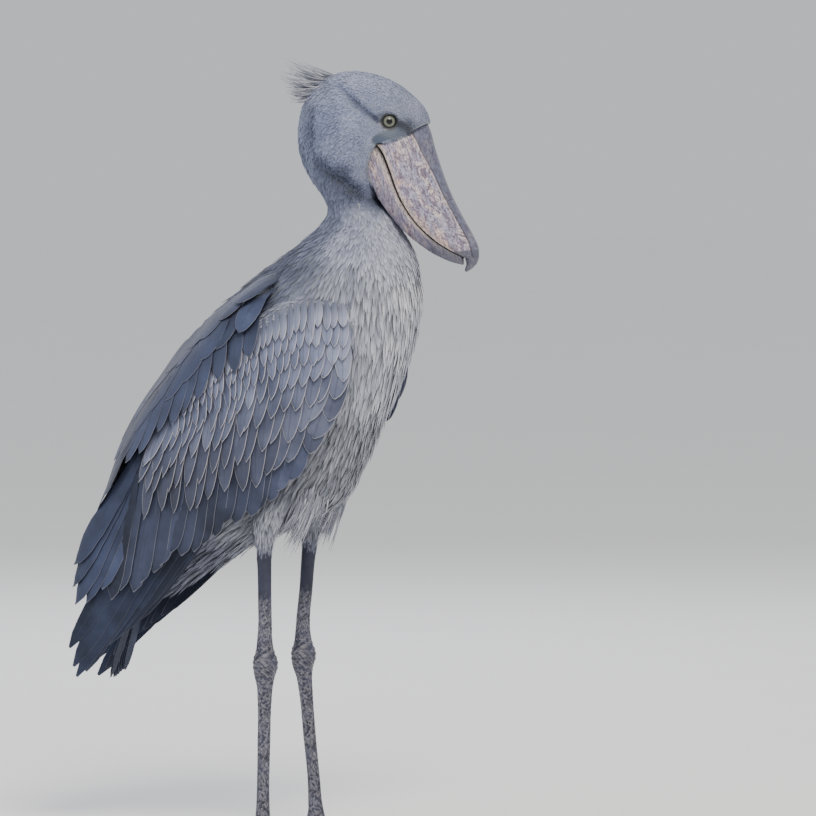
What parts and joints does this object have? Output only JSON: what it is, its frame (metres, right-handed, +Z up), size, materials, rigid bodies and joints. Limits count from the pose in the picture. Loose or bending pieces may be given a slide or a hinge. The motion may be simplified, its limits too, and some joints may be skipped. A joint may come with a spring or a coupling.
{
  "type": "shoebill",
  "caption": "Life-size standing shoebill, a tall grey wading bird with a very large hooked bill, a short crest, folded wings and long toes flat on the floor.",
  "frame": {"origin": "middle of the model's box, at the floor under the feet", "axes": "+X the way the bird faces, +Y its left side, +Z up"},
  "size_m": [0.6096, 0.3274, 1.1299],
  "materials": {
    "plumage": "soft matt feathers",
    "flight_feathers": "smooth matt feathers with paler edges",
    "bill_horn": "horn, satin, blotched",
    "leg_skin": "matt scaly skin",
    "claw_horn": "dark polished horn",
    "eye": "wet gloss"
  },
  "bodies": {
    "root": {"torso": "plumage", "neck": "plumage", "head": "plumage", "bill_upper": "bill_horn", "bill_lower": "bill_horn", "eye_right": "eye", "eye_left": "eye", "wing_right": "flight_feathers", "wing_left": "flight_feathers", "tail": "flight_feathers", "thigh_right": "plumage", "shank_right": "leg_skin", "tarsus_right": "leg_skin", "toe_inner_right": "leg_skin", "claw_inner_right": "claw_horn", "toe_middle_right": "leg_skin", "claw_middle_right": "claw_horn", "toe_outer_right": "leg_skin", "claw_outer_right": "claw_horn", "toe_hind_right": "leg_skin", "claw_hind_right": "claw_horn", "thigh_left": "plumage", "shank_left": "leg_skin", "tarsus_left": "leg_skin", "toe_inner_left": "leg_skin", "claw_inner_left": "claw_horn", "toe_middle_left": "leg_skin", "claw_middle_left": "claw_horn", "toe_outer_left": "leg_skin", "claw_outer_left": "claw_horn", "toe_hind_left": "leg_skin", "claw_hind_left": "claw_horn"}
  },
  "joints": []
}
